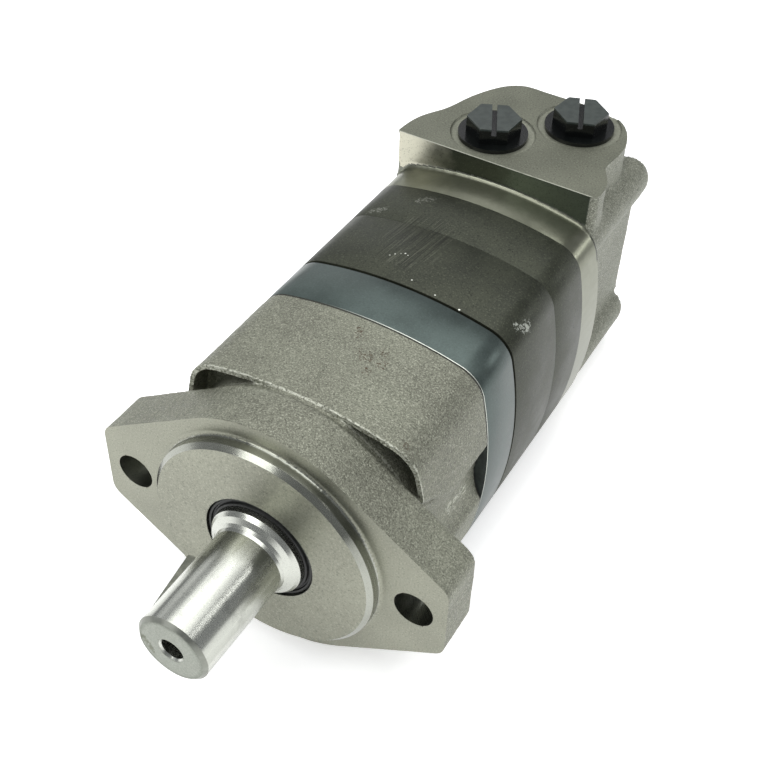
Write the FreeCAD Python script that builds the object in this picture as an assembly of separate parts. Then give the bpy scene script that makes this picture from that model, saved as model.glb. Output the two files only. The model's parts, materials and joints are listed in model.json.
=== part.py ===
import FreeCAD, Part
import math
import os

# Orbital hydraulic motor with a two-bolt flange, a keyed straight shaft and
# two face-sealed ports.  Millimetres.  The shaft axis is Y and the shaft end
# points to -Y.  X runs along the line of the two flange holes, Z points from
# the axis to the port face.  The origin is the centre of the flange's front
# (mounting) face.

V = FreeCAD.Vector
os.makedirs("parts", exist_ok=True)

# ---------------------------------------------------------------- dimensions
# mounting flange
PILOT_R = 41.275          # locating pilot, 82.55 across
PILOT_H = 5.35
PILOT_CHAMFER = 1.6
HOLE_SPACING = 106.4
HOLE_R = 6.8
FLANGE_T = 17.5
LOBE_R = 47.5             # top and bottom lobes of the flange
EAR_X = 58.6              # centre of an ear's corner round
EAR_Z = 11.43
EAR_R = 6.0

# square body section with crowned sides
HALF_W = 46.33
SIDE_R = 141.7
CORNER_R = 12.7

# stations along the axis
Y_BODY = 19.8             # front edge of the square body
Y_WEAR = 61.7             # bearing housing to wear plate
Y_RING = 83.1             # wear plate to rotor ring
Y_VPLATE = 114.9          # rotor ring to valve plate
Y_VHOUSE = 137.5          # valve plate to valve housing
Y_BLOCK = 152.0           # front wall of the port block
Y_LUG = 206.4             # rear ends of the four lugs
Y_REAR = 208.4            # rear face

# bearing housing hollows
NECK_R = 45.9
SEAL_BORE_R = 20.25
THRUST_BORE_R = 23.0
BEARING_BORE_R = 27.5
SCOOP_DEPTH_X = 42.0      # floor of the side scoops
SCOOP_R = 25.8

# output shaft
SHAFT_R = 12.7
SHAFT_END = -50.35
JOURNAL_R = 17.0
RACE_R = 17.5
KEY_W = 6.35              # half-moon key, 6.35 by 25.4
KEY_R = 12.7
KEY_DEPTH = 11.13         # from its flat to the bottom of its round side
KEY_ANGLE = 193.0         # round the axis, from +X towards +Z
KEY_FLAT = 15.6           # the flat's distance from the shaft axis, key level
KEY_Y = -31.0
KEY_TILT = 8.5            # the key lies rocked in its seat, rear end out
END_HOLE_R = 3.97         # 3/8 in thread, drawn at its bore
END_HOLE_L = 19.0

# rotor set: nine rollers and an eight-lobed star
N_ROLL = 9
ROLL_CIRCLE = 33.0
ECC = 3.2
ROLL_R = 6.35
ROLL_FIT = 0.07
STAR_FIT = 0.08
RING_BORE = 33.5

# splined drives
SPL_A = (12, 12.5, 10.3, 1.15, 1.95)   # teeth, tip, root, half tip, half root
SPL_B = (12, 9.6, 7.9, 0.85, 1.45)
SPL_PLAY = 0.45
Y_CROWN_1 = 40.0          # main drive in the shaft
Y_CROWN_2 = 91.0          # main drive in the star
Y_CROWN_3 = 108.0         # valve drive in the star
Y_CROWN_4 = 146.0         # valve drive in the disc valve

# clamp bolts
BOLT_C = 32.9
BOLT_R = 4.76
BOLT_HOLE_R = 5.1
BOLT_HEAD_R = 7.14        # 3/8 in socket heads, sunk in the lugs
BOLT_HEAD_L = 9.5
BOLT_SOCKET_AF = 7.94
Y_BOLT_SEAT = 196.2
SINK_R = 7.45
LUG_R = 8.6

# ports
PORT_Z = 55.2
PORT_A = (-11.8, 170.4)
PORT_B = (13.8, 192.8)
SPOT_R = 16.3
SPOT_DEPTH = 0.9
PORT_R = 10.4
PORT_MOUTH_R = 12.9
PLUG_WASHER_R = 13.3
PLUG_HEX_R = 10.39        # centre to corner
PLUG_TOP_Z = 62.0

# valve cavity
VALVE_R = 27.5
CAVITY_R = 30.5
Y_CAVITY = 172.0


# ------------------------------------------------------------------- helpers
def cyl(r, y0, y1, x=0.0, z=0.0):
    """Cylinder along Y between two stations."""
    return Part.makeCylinder(r, y1 - y0, V(x, y0, z), V(0, 1, 0))


def tube(ro, ri, y0, y1, x=0.0, z=0.0):
    return cyl(ro, y0, y1, x, z).cut(cyl(ri, y0 - 1, y1 + 1, x, z))


def vcyl(r, z0, z1, x, y):
    """Cylinder along Z."""
    return Part.makeCylinder(r, z1 - z0, V(x, y, z0), V(0, 0, 1))


def revolve(points):
    """Solid of revolution about Y from a closed outline of (r, y) points."""
    pts = [V(r, y, 0) for r, y in points]
    wire = Part.makePolygon(pts + [pts[0]])
    return Part.Face(wire).revolve(V(0, 0, 0), V(0, 1, 0), 360)


def solid(shape):
    """The one solid of a boolean result, with its split faces merged."""
    shape = shape.removeSplitter()
    if len(shape.Solids) == 1:
        return shape.Solids[0]
    return shape


def arc(cx, cz, r, a0, a1, y):
    """Arc in a plane across the axis; angles in degrees from +X to +Z."""
    def p(a):
        a = math.radians(a)
        return V(cx + r * math.cos(a), y, cz + r * math.sin(a))
    return Part.Arc(p(a0), p((a0 + a1) / 2.0), p(a1)).toShape()


def body_wire(y, inset=0.0):
    """Square section with crowned sides and rounded corners."""
    rs = SIDE_R - inset
    rc = CORNER_R - inset
    d = HALF_W - SIDE_R
    dist = SIDE_R - CORNER_R
    # the corner centre lies on the diagonal, on a circle round the side centre
    c = (2 * d + math.sqrt(4 * d * d - 8 * (d * d - dist * dist))) / 4.0
    a = math.degrees(math.atan2(c - d, c))
    edges = []
    for k in range(4):
        q = 90.0 * k
        rot = math.radians(q)

        def turn(x, z):
            return (x * math.cos(rot) - z * math.sin(rot),
                    x * math.sin(rot) + z * math.cos(rot))
        sx, sz = turn(0, d)
        edges.append(arc(sx, sz, rs, q + a, q + 180 - a, y))
        kx, kz = turn(-c, c)
        edges.append(arc(kx, kz, rc, q + 180 - a, q + 90 + a, y))
    return Part.Wire(Part.__sortEdges__(edges))


def body_prism(y0, y1, inset=0.0):
    return Part.Face(body_wire(y0, inset)).extrude(V(0, y1 - y0, 0))


def poly_prism(points, y0, y1):
    """Prism along Y from (x, z) points."""
    pts = [V(x, y0, z) for x, z in points]
    return Part.Face(Part.makePolygon(pts + [pts[0]])).extrude(V(0, y1 - y0, 0))


def spline_points(spec, play=0.0, phase=0.0):
    """Outline of a straight-sided spline; play widens it into its socket."""
    n, tip, root, ht, hr = spec
    pts = []
    for k in range(n):
        a = 2 * math.pi * k / n + phase
        for r, h in ((root + play, -hr - play), (tip + play, -ht - play),
                     (tip + play, ht + play), (root + play, hr + play)):
            pts.append((r * math.cos(a) - h * math.sin(a),
                        r * math.sin(a) + h * math.cos(a)))
    return pts


def hexagon(r, x, y, phase):
    return [V(x + r * math.cos(phase + k * math.pi / 3),
              y + r * math.sin(phase + k * math.pi / 3), 0) for k in range(6)]


def corners():
    return [(sx * BOLT_C, sz * BOLT_C) for sx in (1, -1) for sz in (1, -1)]


def chamfer_round(shape, r, y, size):
    """Chamfer the round edges of one radius that lie at one station."""
    hit = []
    for e in shape.Edges:
        c = e.Curve
        if isinstance(c, Part.Circle) and abs(c.Radius - r) < 0.01:
            if abs(e.BoundBox.YMin - y) < 0.01 and abs(e.BoundBox.YMax - y) < 0.01:
                hit.append(e)
    return shape.makeChamfer(size, hit) if hit else shape


parts = {}

# ------------------------------------------------------------ bearing housing
# flange outline: two lobes joined to the ears by straight flanks
n_ang = math.degrees(math.atan2(0.8387, 0.5446))


def flange_outline(y, r=LOBE_R, ear=EAR_R):
    def pt(cx, cz, rad, a):
        a = math.radians(a)
        return V(cx + rad * math.cos(a), y, cz + rad * math.sin(a))
    e = []
    e.append(arc(0, 0, r, n_ang, 180 - n_ang, y))
    e.append(Part.LineSegment(pt(0, 0, r, 180 - n_ang),
                              pt(-EAR_X, EAR_Z, ear, 180 - n_ang)).toShape())
    e.append(arc(-EAR_X, EAR_Z, ear, 180 - n_ang, 180, y))
    e.append(Part.LineSegment(pt(-EAR_X, EAR_Z, ear, 180),
                              pt(-EAR_X, -EAR_Z, ear, 180)).toShape())
    e.append(arc(-EAR_X, -EAR_Z, ear, 180, 180 + n_ang, y))
    e.append(Part.LineSegment(pt(-EAR_X, -EAR_Z, ear, 180 + n_ang),
                              pt(0, 0, r, 180 + n_ang)).toShape())
    e.append(arc(0, 0, r, 180 + n_ang, 360 - n_ang, y))
    e.append(Part.LineSegment(pt(0, 0, r, 360 - n_ang),
                              pt(EAR_X, -EAR_Z, ear, 360 - n_ang)).toShape())
    e.append(arc(EAR_X, -EAR_Z, ear, -n_ang, 0, y))
    e.append(Part.LineSegment(pt(EAR_X, -EAR_Z, ear, 0),
                              pt(EAR_X, EAR_Z, ear, 0)).toShape())
    e.append(arc(EAR_X, EAR_Z, ear, 0, n_ang, y))
    e.append(Part.LineSegment(pt(EAR_X, EAR_Z, ear, n_ang),
                              pt(0, 0, r, n_ang)).toShape())
    return Part.Wire(Part.__sortEdges__(e))


flange = Part.Face(flange_outline(0.0)).extrude(V(0, FLANGE_T, 0))
pilot = revolve([(0, 0.5), (PILOT_R, 0.5), (PILOT_R, -PILOT_H + PILOT_CHAMFER),
                 (PILOT_R - PILOT_CHAMFER, -PILOT_H), (0, -PILOT_H)])
neck = cyl(NECK_R, 1.0, 34.0)
body = body_prism(Y_BODY, Y_WEAR)

# crescent hollows behind the flange, under the lips of the four corners
hollow = body_prism(Y_BODY - 1, 28.0, 1.6).cut(cyl(NECK_R, Y_BODY - 2, 29.0))
body = body.cut(hollow)

# scooped sides that leave room for the mounting bolts
for s in (1, -1):
    straight = cyl(SCOOP_R, 30.0, Y_WEAR + 5, s * (SCOOP_DEPTH_X + SCOOP_R), 0)
    c1 = Part.Wire(Part.makeCircle(SCOOP_R, V(s * (SCOOP_DEPTH_X + SCOOP_R), 37.0, 0), V(0, 1, 0)))
    c2 = Part.Wire(Part.makeCircle(72.0, V(s * (39.0 + 72.0), FLANGE_T, 0), V(0, 1, 0)))
    flare = Part.makeLoft([c1, c2], True)
    side_only = Part.makeBox(60, Y_WEAR + 10 - FLANGE_T, 62,
                             V(36.0 if s > 0 else -96.0, FLANGE_T, -31))
    body = body.cut(straight.common(side_only)).cut(flare.common(side_only))
    neck = neck.cut(flare.common(side_only))

housing = flange.fuse([pilot, neck, body])
bores = [cyl(SEAL_BORE_R, -PILOT_H - 1, 9.0),
         cyl(THRUST_BORE_R, 9.0, 18.0),
         cyl(BEARING_BORE_R, 17.5, Y_WEAR + 1),
         cyl(29.3, 57.2, 59.2),
         tube(41.4, 39.7, Y_WEAR - 1.1, Y_WEAR + 1)]
for x in (HOLE_SPACING / 2, -HOLE_SPACING / 2):
    bores.append(cyl(HOLE_R, -1, FLANGE_T + 1, x, 0))
for x, z in corners():
    bores.append(cyl(BOLT_R + 0.05, 37.0, Y_WEAR + 1, x, z))
housing = solid(housing.cut(bores))
parts["bearing_housing"] = housing

# ------------------------------------------------------------ seals and shaft
# wiper with two ridges round the journal
parts["dust_seal"] = revolve([
    (SEAL_BORE_R, -0.9), (SEAL_BORE_R, -4.2), (19.55, -4.7), (18.9, -4.7),
    (18.6, -4.1), (18.2, -4.1), (17.9, -4.9), (17.35, -5.2), (17.05, -5.0),
    (17.05, -4.3), (17.8, -3.0), (17.8, -0.9)])
parts["shaft_seal"] = revolve([
    (SEAL_BORE_R, -0.6), (SEAL_BORE_R, 5.4), (19.3, 5.4), (19.3, 1.2),
    (17.9, 1.2), (17.7, 4.2), (17.05, 4.0), (17.05, 3.4), (17.4, -0.6)])
parts["seal_backup_washer"] = tube(SEAL_BORE_R, 17.4, 5.6, 7.2)
parts["thrust_race"] = tube(22.9, 17.6, 9.0, 10.0)

NEEDLES = 20
cage = tube(22.6, 17.7, 10.45, 12.55)
needles = []
for k in range(NEEDLES):
    a = 2 * math.pi * k / NEEDLES
    d = V(math.cos(a), 0, math.sin(a))
    slot = Part.makeCylinder(1.5, 3.7, V(0, 11.5, 0) + d * 18.35, d)
    cage = cage.cut(slot)
    needles.append(Part.makeCylinder(1.45, 3.5, V(0, 11.5, 0) + d * 18.45, d))
parts["thrust_cage"] = solid(cage)
parts["thrust_needles"] = Part.makeCompound(needles)


def roller_bearing(prefix, y0, y1):
    n = 16
    pitch = RACE_R + 3.0 + 0.04
    parts[prefix + "_race"] = revolve([
        (BEARING_BORE_R, y0), (BEARING_BORE_R, y1), (22.0, y1), (22.0, y1 - 1.4),
        (23.58, y1 - 1.4), (23.58, y0 + 1.4), (22.0, y0 + 1.4), (22.0, y0)])
    cg = tube(21.75, 19.3, y0 + 0.5, y1 - 0.5)
    rolls = []
    for k in range(n):
        a = 2 * math.pi * k / n
        x, z = pitch * math.cos(a), pitch * math.sin(a)
        cg = cg.cut(cyl(3.12, y0 + 1.6, y1 - 1.6, x, z))
        rolls.append(cyl(3.0, y0 + 1.75, y1 - 1.75, x, z))
    parts[prefix + "_cage"] = solid(cg)
    parts[prefix + "_rollers"] = Part.makeCompound(rolls)


roller_bearing("front_bearing", 17.6, 31.6)
roller_bearing("rear_bearing", 43.0, 57.0)
parts["bearing_spacer"] = tube(BEARING_BORE_R, 23.6, 31.7, 42.9)
ring = tube(29.1, 25.2, 57.4, 59.0)
gap = Part.makeBox(9, 4, 8, V(-4.5, 56.5, 22.5))
parts["bearing_retaining_ring"] = solid(ring.cut(gap))

shaft = revolve([
    (0, SHAFT_END), (SHAFT_R - 1.3, SHAFT_END), (SHAFT_R, SHAFT_END + 1.3),
    (SHAFT_R, -11.6), (13.15, -10.5), (14.1, -9.6), (15.9, -8.5), (JOURNAL_R - 0.35, -7.5),
    (JOURNAL_R, -7.1), (JOURNAL_R, 13.0), (22.2, 13.0), (22.2, 16.6),
    (RACE_R, 16.6), (RACE_R, 57.6), (RACE_R - 0.8, 58.4), (0, 58.4)])
shaft = shaft.cut(poly_prism(spline_points(SPL_A, SPL_PLAY), 30.0, 60.0))
shaft = shaft.cut(cyl(END_HOLE_R, SHAFT_END - 1, SHAFT_END + END_HOLE_L))
shaft = shaft.cut(revolve([(0, SHAFT_END - 0.2), (4.95, SHAFT_END - 0.2), (3.9, SHAFT_END + 0.85), (0, SHAFT_END + 0.85)]))
ka = math.radians(KEY_ANGLE)
kd = V(math.cos(ka), 0, math.sin(ka))
kt = V(-math.sin(ka), 0, math.cos(ka))


# centre of the key's round side, and of its seat in the shaft
key_c = kd * (KEY_FLAT + KEY_R - KEY_DEPTH) + V(0, KEY_Y, 0)
seat = Part.makeCylinder(KEY_R + 0.06, KEY_W + 0.04, key_c - kt * ((KEY_W + 0.04) / 2), kt)
shaft = shaft.cut(seat)
parts["output_shaft"] = solid(shaft)

disc = Part.makeCylinder(KEY_R, KEY_W, key_c - kt * (KEY_W / 2), kt)
# everything beyond the flat is taken away, and the two sharp ends are squared
off = Part.makeBox(40, 40, 40, V(0, -20, -20))
off.rotate(V(0, 0, 0), V(0, 1, 0), -KEY_ANGLE)
off.translate(kd * KEY_FLAT + V(0, KEY_Y, 0))
key = disc.cut(off)
for s in (1, -1):
    end = Part.makeBox(40, 20, 40, V(-20, 12.3 if s > 0 else -32.3, -20))
    end.rotate(V(0, 0, 0), V(0, 1, 0), -KEY_ANGLE)
    end.translate(V(0, KEY_Y, 0))
    key = key.cut(end)
key = solid(key)
key.rotate(key_c, kt, -KEY_TILT)
parts["shaft_key"] = key
print("key centre", key_c, "axis", kt)

# ------------------------------------------------------------------ wear plate
# the plate's front rim is relieved so that a narrow joint line shows
GROOVE = 1.2
plate = body_prism(Y_WEAR, Y_RING - GROOVE).fuse(body_prism(Y_RING - GROOVE - 0.01, Y_RING, 1.3))
plate = plate.cut([cyl(16.8, Y_WEAR - 1, Y_RING + 1)] +
                  [cyl(BOLT_HOLE_R, Y_WEAR - 1, Y_RING + 1, x, z) for x, z in corners()] +
                  [tube(41.4, 39.7, Y_RING - 1.1, Y_RING + 1)])
parts["wear_plate"] = solid(plate)

# ------------------------------------------------------------------- rotor set
ring = body_prism(Y_RING, Y_VPLATE)
cuts = [cyl(RING_BORE, Y_RING - 1, Y_VPLATE + 1)]
for k in range(N_ROLL):
    a = math.radians(90 + 40 * k)
    x, z = ROLL_CIRCLE * math.cos(a), ROLL_CIRCLE * math.sin(a)
    cuts.append(cyl(ROLL_R + ROLL_FIT, Y_RING - 1, Y_VPLATE + 1, x, z))
    parts["roller_%d" % (k + 1)] = cyl(ROLL_R, Y_RING + 0.06, Y_VPLATE - 0.06, x, z)
cuts += [cyl(BOLT_HOLE_R, Y_RING - 1, Y_VPLATE + 1, x, z) for x, z in corners()]
parts["gerotor_ring"] = solid(ring.cut(cuts))

# star outline: the curve followed by a roller's centre, moved in by its radius
def star_point(t):
    p = ROLL_CIRCLE * complex(math.cos(t), math.sin(t)) - ECC * complex(math.cos(9 * t), math.sin(9 * t))
    dp = ROLL_CIRCLE * complex(-math.sin(t), math.cos(t)) - 9 * ECC * complex(-math.sin(9 * t), math.cos(9 * t))
    return p - dp / abs(dp) * complex(0, -1) * (ROLL_R + STAR_FIT)


# one lobe, stepped finely and then thinned to even spacing along the outline,
# because the roller centre's path turns almost on the spot in each valley
fine = [star_point(2 * math.pi / 8 * i / 20000.0) for i in range(20001)]
run = [0.0]
for i in range(1, len(fine)):
    run.append(run[-1] + abs(fine[i] - fine[i - 1]))
per_lobe = 30
lobe = []
j = 0
for i in range(per_lobe):
    want = run[-1] * i / per_lobe
    while run[j + 1] < want:
        j += 1
    lobe.append(fine[j] + (fine[j + 1] - fine[j]) * ((want - run[j]) / (run[j + 1] - run[j])))
length = 8 * run[-1]
pts = []
for k in range(8):
    turn = complex(math.cos(math.pi / 4 * k), math.sin(math.pi / 4 * k))
    for q in lobe:
        q = q * turn
        # the first coordinate of the outline runs along Z and the second along X
        pts.append(V(q.imag, Y_RING + 0.06, q.real + ECC))
curve = Part.BSplineCurve()
curve.interpolate(Points=pts, PeriodicFlag=True)
star = Part.Face(Part.Wire(curve.toShape())).extrude(V(0, Y_VPLATE - Y_RING - 0.12, 0))
spl = [(x, z + ECC) for x, z in spline_points(SPL_A, SPL_PLAY)]
star = star.cut(poly_prism(spl, Y_RING - 1, 97.0))
star = star.cut(cyl(13.1, 97.0, 100.6, 0, ECC))
spl = [(x, z + ECC) for x, z in spline_points(SPL_B, SPL_PLAY)]
star = star.cut(poly_prism(spl, 100.5, Y_VPLATE + 1))
parts["gerotor_star"] = solid(star)
print("roller turns per shaft turn", -length / (2 * math.pi * ROLL_R))


def crowned(spec, y0, y1, crown):
    """Splined head whose outside is barrelled so that it can tip."""
    mid = (y0 + y1) / 2.0
    tip = spec[1]
    head = poly_prism(spline_points(spec), y0, y1)
    p = [V(0, y0, 0), V(tip - crown, y0, 0)]
    profile = Part.Wire([Part.LineSegment(V(0, y0, 0), V(tip - crown, y0, 0)).toShape(),
                         Part.Arc(V(tip - crown, y0, 0), V(tip + 0.02, mid, 0), V(tip - crown, y1, 0)).toShape(),
                         Part.LineSegment(V(tip - crown, y1, 0), V(0, y1, 0)).toShape(),
                         Part.LineSegment(V(0, y1, 0), V(0, y0, 0)).toShape()])
    barrel = Part.Face(profile).revolve(V(0, 0, 0), V(0, 1, 0), 360)
    return head.common(barrel)


# main drive: splined at both ends, tipped from the shaft's axis to the star's
link = crowned(SPL_A, Y_CROWN_1 - 4.5, Y_CROWN_1 + 4.5, 0.5)
link = link.fuse(crowned(SPL_A, Y_CROWN_2 - 4.5, Y_CROWN_2 + 4.5, 0.5))
link = link.fuse(revolve([(0, 34.2), (7.0, 34.2), (8.2, 35.4), (9.6, 36.0), (9.6, 44.0), (8.0, 48.5),
                          (8.0, 82.5), (9.6, 87.0), (9.6, 95.2), (5.5, 96.3), (0, 96.5)]))
alpha = math.degrees(math.atan2(ECC, Y_CROWN_2 - Y_CROWN_1))
link.rotate(V(0, Y_CROWN_1, 0), V(1, 0, 0), alpha)
parts["drive_link"] = solid(link)

parts["drive_spacer"] = cyl(12.4, 97.7, 99.4, 0, ECC)

# valve drive: the same idea, from the star back to the disc valve
vd = crowned(SPL_B, Y_CROWN_3 - 3.0, Y_CROWN_3 + 3.0, 0.35)
vd = vd.fuse(crowned(SPL_B, Y_CROWN_4 - 3.0, Y_CROWN_4 + 3.0, 0.35))
vd = vd.fuse(revolve([(0, 100.3), (3.4, 100.3), (4.2, 101.2), (4.2, 104.0), (7.2, 105.2), (7.2, 110.9), (5.8, 113.0),
                      (5.8, 141.0), (7.2, 143.2), (7.2, 148.9), (4.0, 150.0), (0, 150.0)]))
beta = math.degrees(math.atan2(ECC, Y_CROWN_4 - Y_CROWN_3))
vd.rotate(V(0, Y_CROWN_4, 0), V(1, 0, 0), -beta)
parts["valve_drive"] = solid(vd)

# ---------------------------------------------------------------------- valves
vp = body_prism(Y_VPLATE, Y_VHOUSE)
cuts = [cyl(14.0, Y_VPLATE - 1, Y_VHOUSE + 1), tube(41.4, 39.7, Y_VPLATE - 1, Y_VPLATE + 1.1)]
for k in range(N_ROLL):
    a = math.radians(90 + 20 + 40 * k)
    cuts.append(cyl(2.3, Y_VPLATE - 1, Y_VHOUSE + 1, 22.6 * math.cos(a), 22.6 * math.sin(a)))
cuts += [cyl(BOLT_HOLE_R, Y_VPLATE - 1, Y_VHOUSE + 1, x, z) for x, z in corners()]
parts["valve_plate"] = solid(vp.cut(cuts))

dv = revolve([(0, Y_VHOUSE + 0.06), (VALVE_R, Y_VHOUSE + 0.06), (VALVE_R, 145.0), (20.5, 145.0), (20.5, 152.0), (0, 152.0)])
cuts = [poly_prism(spline_points(SPL_B, SPL_PLAY), Y_VHOUSE - 1, 153.0)]
for k in range(8):
    a = math.radians(45 * k)
    cuts.append(cyl(2.1, Y_VHOUSE - 1, 153.0, 16.4 * math.cos(a), 16.4 * math.sin(a)))
    a += math.radians(22.5)
    cuts.append(cyl(2.1, Y_VHOUSE - 1, 146.0, 23.6 * math.cos(a), 23.6 * math.sin(a)))
parts["disc_valve"] = solid(dv.cut(cuts))

br = revolve([(13.0, 152.3), (25.6, 152.3), (25.6, 156.0), (29.9, 156.0), (29.9, 162.0), (13.0, 162.0)])
cuts = []
for k in range(6):
    a = math.radians(60 * k)
    cuts.append(cyl(2.0, 151, 163, 18.6 * math.cos(a), 18.6 * math.sin(a)))
for k in range(3):
    a = math.radians(90 + 120 * k)
    cuts.append(cyl(3.3, 159.0, 163.0, 24.6 * math.cos(a), 24.6 * math.sin(a)))
for a in (0.0, math.pi):
    cuts.append(cyl(1.6, 157.0, 163.0, 25.4 * math.cos(a), 25.4 * math.sin(a)))
parts["balance_ring"] = solid(br.cut(cuts))
parts["balance_ring_seals"] = Part.makeCompound([
    tube(CAVITY_R, 28.1, 162.2, 164.4), tube(15.2, 13.0, 162.2, 164.4)])

springs = []
for k in range(3):
    a = math.radians(90 + 120 * k)
    cx, cz = 24.6 * math.cos(a), 24.6 * math.sin(a)
    helix = Part.makeHelix(2.3, 9.2, 2.3)
    wire = Part.Wire(helix.Edges)
    prof = Part.Wire(Part.makeCircle(0.42, V(2.3, 0, 0), V(0, 1, 0)))
    coil = wire.makePipeShell([prof], True, True)
    coil.rotate(V(0, 0, 0), V(1, 0, 0), -90)
    coil.translate(V(cx, 159.6, cz))
    springs.append(coil.Solids[0] if coil.Solids else coil)
parts["balance_springs"] = Part.makeCompound(springs)
parts["balance_ring_pins"] = Part.makeCompound([
    cyl(1.5, 157.4, 170.9, 25.4, 0), cyl(1.5, 157.4, 170.9, -25.4, 0)])

# --------------------------------------------------------------- valve housing
band = body_prism(Y_VHOUSE, Y_BLOCK)


def rounded_box(x0, x1, z0, z1, r, y0, y1):
    pts = [(x0 + r, z0 + r, 180, 270), (x1 - r, z0 + r, 270, 360),
           (x1 - r, z1 - r, 0, 90), (x0 + r, z1 - r, 90, 180)]
    edges = []
    for i, (cx, cz, a0, a1) in enumerate(pts):
        edges.append(arc(cx, cz, r, a0, a1, y0))
        nx, nz, b0, b1 = pts[(i + 1) % 4]
        p = V(cx + r * math.cos(math.radians(a1)), y0, cz + r * math.sin(math.radians(a1)))
        q = V(nx + r * math.cos(math.radians(b0)), y0, nz + r * math.sin(math.radians(b0)))
        edges.append(Part.LineSegment(p, q).toShape())
    return Part.Face(Part.Wire(Part.__sortEdges__(edges))).extrude(V(0, y1 - y0, 0))


core = rounded_box(-36.2, 36.2, -37.5, 40.0, 6.0, Y_BLOCK - 1, Y_REAR)
lugs = []
for x, z in corners():
    lugs.append(revolve([(0, Y_BLOCK - 1), (LUG_R, Y_BLOCK - 1), (LUG_R, Y_LUG - 0.8), (LUG_R - 0.8, Y_LUG), (0, Y_LUG)]))
    lugs[-1].translate(V(x, 0, z))
    # web from the lug to the core
    web = Part.makeBox(12, Y_LUG - 1 - Y_BLOCK, 12, V(-6, 0, -6))
    web.rotate(V(0, 0, 0), V(0, 1, 0), 45)
    web.translate(V(x - math.copysign(6.5, x), Y_BLOCK, z - math.copysign(6.5, z)))
    lugs.append(web)

# outline of the port face, (x, y)
FACE = [(-42.6, 152.0), (-42.3, 158.0), (-40.9, 164.6), (-38.4, 170.2), (-35.4, 175.4),
        (-33.4, 181.0), (-31.6, 187.4), (-29.0, 193.9), (-26.0, 199.6), (-22.2, 204.6),
        (-17.0, 207.9), (-10.0, Y_REAR), (4.0, Y_REAR), (17.5, 207.9), (24.6, 205.6),
        (29.3, 201.3), (32.3, 196.0), (34.1, 190.0), (34.6, 183.4), (33.9, 177.0),
        (33.9, 171.6), (36.4, 166.8), (38.3, 162.0), (39.0, 156.0)]
fp = [V(x, y, PORT_Z) for x, y in FACE]
side = Part.BSplineCurve()
side.interpolate(Points=fp, PeriodicFlag=False)
corner_r = 3.2
front = [Part.Arc(V(39.0, 156.0, PORT_Z), V(38.1, 152.95, PORT_Z), V(35.8, 152.0, PORT_Z)).toShape(),
         Part.LineSegment(V(35.8, 152.0, PORT_Z), fp[0]).toShape()]
block = Part.Face(Part.Wire(Part.__sortEdges__([side.toShape()] + front))).extrude(V(0, 0, -27.0))
vh = band.fuse([core, block] + lugs)
cuts = [cyl(CAVITY_R, Y_VHOUSE - 1, Y_CAVITY),
        tube(41.4, 39.7, Y_VHOUSE - 1, Y_VHOUSE + 1.1)]
for x, z in corners():
    cuts.append(cyl(BOLT_HOLE_R, Y_VHOUSE - 1, Y_LUG + 1, x, z))
    cuts.append(cyl(SINK_R, Y_BOLT_SEAT, Y_LUG + 1, x, z))
    # flat end of the lug, faced into whatever stands behind it
    cuts.append(cyl(LUG_R + 0.9, Y_LUG, Y_REAR + 3, x, z))
for x in (25.4, -25.4):
    cuts.append(cyl(1.6, Y_CAVITY - 1, Y_CAVITY + 0.0, x, 0))
for (px, py), depth in ((PORT_A, 33.0), (PORT_B, 33.0)):
    cuts.append(vcyl(SPOT_R, PORT_Z - SPOT_DEPTH, PORT_Z + 1, px, py))
    cuts.append(vcyl(PORT_R, depth, PORT_Z, px, py))
    cone = Part.makeCone(PORT_R, PORT_MOUTH_R, PORT_MOUTH_R - PORT_R,
                         V(px, py, PORT_Z - SPOT_DEPTH - (PORT_MOUTH_R - PORT_R)), V(0, 0, 1))
    cuts.append(cone)
cuts.append(vcyl(6.0, 20.0, 34.0, PORT_A[0], 165.5))
cuts.append(vcyl(5.5, 17.0, 34.0, PORT_B[0], PORT_B[1]))
cuts.append(cyl(5.0, Y_CAVITY - 2, PORT_B[1], PORT_B[0], 20.0))
# case drain port in the rear face
DRAIN_R = 5.2
cuts.append(cyl(DRAIN_R, 194.0, Y_REAR + 1))
cuts.append(cyl(10.6, Y_REAR - 0.6, Y_REAR + 1))
cuts.append(cyl(2.0, Y_CAVITY - 1, 195.0))
parts["valve_housing"] = solid(vh.cut(cuts))

# ----------------------------------------------------------- plugs and fasteners
def port_plug(px, py, slot_angle, hex_phase):
    z_seat = PORT_Z - SPOT_DEPTH
    washer = vcyl(PLUG_WASHER_R, z_seat + 0.02, z_seat + 1.5, px, py)
    shank = vcyl(9.95, 38.0, z_seat + 0.5, px, py)
    tip = Part.makeCone(8.8, 9.95, 1.4, V(px, py, 36.6), V(0, 0, 1))
    hp = hexagon(PLUG_HEX_R, px, py, hex_phase)
    head = Part.Face(Part.makePolygon(hp + [hp[0]])).extrude(V(0, 0, PLUG_TOP_Z - z_seat - 1.0))
    head.translate(V(0, 0, z_seat + 1.0))
    crown = Part.makeCone(PLUG_HEX_R + 1.4, PLUG_HEX_R - 0.2, 0.8, V(px, py, PLUG_TOP_Z - 0.8), V(0, 0, 1))
    crown = crown.fuse(vcyl(PLUG_HEX_R + 1.4, z_seat, PLUG_TOP_Z - 0.8, px, py))
    head = head.common(crown)
    s = washer.fuse([shank, tip, head])
    slot = Part.makeBox(30, 1.9, 3.2, V(-15, -0.95, 0))
    slot.rotate(V(0, 0, 0), V(0, 0, 1), slot_angle)
    slot.translate(V(px, py, PLUG_TOP_Z - 2.6))
    # moulded hollow underneath
    s = s.cut(slot).cut(vcyl(7.2, 30.0, 52.0, px, py))
    return solid(s)


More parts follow.
